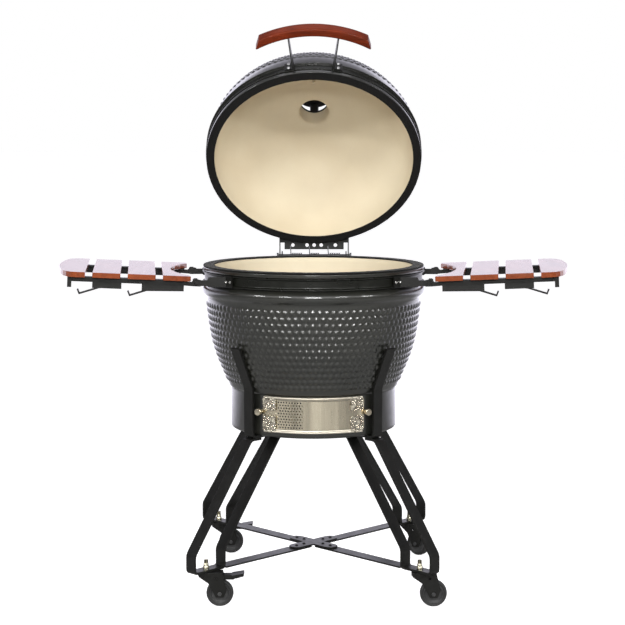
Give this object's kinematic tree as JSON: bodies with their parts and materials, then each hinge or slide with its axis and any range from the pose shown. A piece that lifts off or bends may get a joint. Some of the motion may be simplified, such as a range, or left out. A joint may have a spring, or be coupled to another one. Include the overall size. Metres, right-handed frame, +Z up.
{
  "type": "kamado ceramic grill",
  "caption": "Ceramic egg-shaped charcoal grill with a hinged dome lid, fold-down slatted side tables and a flat-bar stand on casters.",
  "frame": {"origin": "on the floor plane, under the middle of the bounding box of the open grill; the bowl's vertical axis is 47 mm in front of it", "axes": "+Z up, +X to the right seen from the front, -Y towards the front where the draft door is"},
  "size_m": [1.2594, 0.722, 1.3948],
  "materials": {
    "glaze": "glossy charcoal glaze over a dimpled surface, cream unglazed inside",
    "felt": "dense black felt",
    "band_steel": "satin black coated spring steel",
    "fireclay": "matt unglazed ceramic",
    "cast_iron": "seasoned black iron",
    "stainless": "brushed",
    "spring_steel": "zinc plated wire",
    "wood": "oiled reddish-brown hardwood",
    "pointer_red": "satin",
    "tyre": "matt black",
    "black_steel": "satin black powder coat"
  },
  "bodies": {
    "bowl_and_stand": {"base_bowl": "glaze", "base_gasket": "felt", "base_band": "band_steel", "fire_box": "fireclay", "fire_ring": "fireclay", "charcoal_grate": "cast_iron", "cooking_grate": "stainless", "draft_frame": "stainless", "cradle": "black_steel", "brace_hub": "black_steel", "hinge_base_bracket": "black_steel", "hinge_rod": "spring_steel", "leg_front_left": "black_steel", "leg_front_right": "black_steel", "leg_rear_right": "black_steel", "leg_rear_left": "black_steel", "brace_front_left": "black_steel", "brace_front_right": "black_steel", "brace_rear_right": "black_steel", "brace_rear_left": "black_steel", "table_bracket_left_front": "black_steel", "table_bracket_left_rear": "black_steel", "table_bracket_right_front": "black_steel", "table_bracket_right_rear": "black_steel"},
    "lid": {"lid_dome": "glaze", "lid_gasket": "felt", "lid_band": "band_steel", "lid_hinge_plate": "black_steel", "hinge_spring": "spring_steel", "handle_grip": "wood", "handle_post_left": "black_steel", "handle_post_right": "black_steel", "vent_base": "cast_iron", "thermometer_case": "stainless"},
    "vent_cap": {"vent_cap": "cast_iron"},
    "thermometer_pointer": {"thermometer_pointer": "pointer_red"},
    "draft_screen": {"draft_screen": "stainless"},
    "draft_door": {"draft_door": "stainless"},
    "table_left": {"slat_left_1": "wood", "slat_left_2": "wood", "slat_left_3": "wood", "slat_left_4": "wood", "table_rail_left_front": "black_steel", "table_rail_left_rear": "black_steel"},
    "table_right": {"slat_right_1": "wood", "slat_right_2": "wood", "slat_right_3": "wood", "slat_right_4": "wood", "table_rail_right_front": "black_steel", "table_rail_right_rear": "black_steel"},
    "caster_front_left": {"caster_fork_front_left": "black_steel"},
    "wheel_front_left": {"caster_wheel_front_left": "tyre"},
    "brake_front_left": {"brake_pedal_front_left": "black_steel"},
    "caster_front_right": {"caster_fork_front_right": "black_steel"},
    "wheel_front_right": {"caster_wheel_front_right": "tyre"},
    "caster_rear_right": {"caster_fork_rear_right": "black_steel"},
    "wheel_rear_right": {"caster_wheel_rear_right": "tyre"},
    "caster_rear_left": {"caster_fork_rear_left": "black_steel"},
    "wheel_rear_left": {"caster_wheel_rear_left": "tyre"},
    "brake_rear_left": {"brake_pedal_rear_left": "black_steel"}
  },
  "joints": [
    {"name": "lid_hinge", "type": "hinge", "parent": "bowl_and_stand", "child": "lid", "pos_m": [0, 0.257, 0.798], "axis": [1, 0, 0], "range_deg": [0, 53]},
    {"name": "vent_cap_turn", "type": "hinge", "parent": "lid", "child": "vent_cap", "pos_m": [0, 0.29683, 1.22369], "axis": [0, 0.7986, 0.6018], "range_deg": [0, 45]},
    {"name": "thermometer_pointer_turn", "type": "hinge", "parent": "lid", "child": "thermometer_pointer", "pos_m": [0, 0.16658, 1.28832], "axis": [0, -0.5577, -0.8301], "range_deg": [0, 270]},
    {"name": "draft_screen_slide", "type": "hinge", "parent": "bowl_and_stand", "child": "draft_screen", "pos_m": [0, -0.059, 0.4535], "axis": [0, 0, 1], "range_deg": [0, 12]},
    {"name": "draft_door_slide", "type": "hinge", "parent": "bowl_and_stand", "child": "draft_door", "pos_m": [0, -0.059, 0.4535], "axis": [0, 0, 1], "range_deg": [-12, 0]},
    {"name": "table_left_fold", "type": "hinge", "parent": "bowl_and_stand", "child": "table_left", "pos_m": [-0.29567, -0.09008, 0.774], "axis": [0.1045, -0.9945, 0], "range_deg": [0, 90]},
    {"name": "table_right_fold", "type": "hinge", "parent": "bowl_and_stand", "child": "table_right", "pos_m": [0.29567, -0.09008, 0.774], "axis": [0.1045, 0.9945, 0], "range_deg": [0, 90]},
    {"name": "caster_front_left_swivel", "type": "hinge", "parent": "bowl_and_stand", "child": "caster_front_left", "pos_m": [-0.25597, -0.31497, 0.08], "axis": [0, 0, 1], "continuous": true},
    {"name": "wheel_front_left_roll", "type": "hinge", "parent": "caster_front_left", "child": "wheel_front_left", "pos_m": [-0.22297, -0.31497, 0.0325], "axis": [0, 1, 0], "continuous": true},
    {"name": "brake_front_left_press", "type": "hinge", "parent": "caster_front_left", "child": "brake_front_left", "pos_m": [-0.23197, -0.31497, 0.07], "axis": [0, 1, 0], "range_deg": [0, 4]},
    {"name": "caster_front_right_swivel", "type": "hinge", "parent": "bowl_and_stand", "child": "caster_front_right", "pos_m": [0.25597, -0.31497, 0.08], "axis": [0, 0, 1], "continuous": true},
    {"name": "wheel_front_right_roll", "type": "hinge", "parent": "caster_front_right", "child": "wheel_front_right", "pos_m": [0.28897, -0.31497, 0.0325], "axis": [0, 1, 0], "continuous": true},
    {"name": "caster_rear_right_swivel", "type": "hinge", "parent": "bowl_and_stand", "child": "caster_rear_right", "pos_m": [0.25597, 0.19697, 0.08], "axis": [0, 0, 1], "continuous": true},
    {"name": "wheel_rear_right_roll", "type": "hinge", "parent": "caster_rear_right", "child": "wheel_rear_right", "pos_m": [0.28125, 0.17576, 0.0325], "axis": [0.6428, 0.766, 0], "continuous": true},
    {"name": "caster_rear_left_swivel", "type": "hinge", "parent": "bowl_and_stand", "child": "caster_rear_left", "pos_m": [-0.25597, 0.19697, 0.08], "axis": [0, 0, 1], "continuous": true},
    {"name": "wheel_rear_left_roll", "type": "hinge", "parent": "caster_rear_left", "child": "wheel_rear_left", "pos_m": [-0.22297, 0.19697, 0.0325], "axis": [0, 1, 0], "continuous": true},
    {"name": "brake_rear_left_press", "type": "hinge", "parent": "caster_rear_left", "child": "brake_rear_left", "pos_m": [-0.23197, 0.19697, 0.07], "axis": [0, 1, 0], "range_deg": [0, 4]}
  ]
}
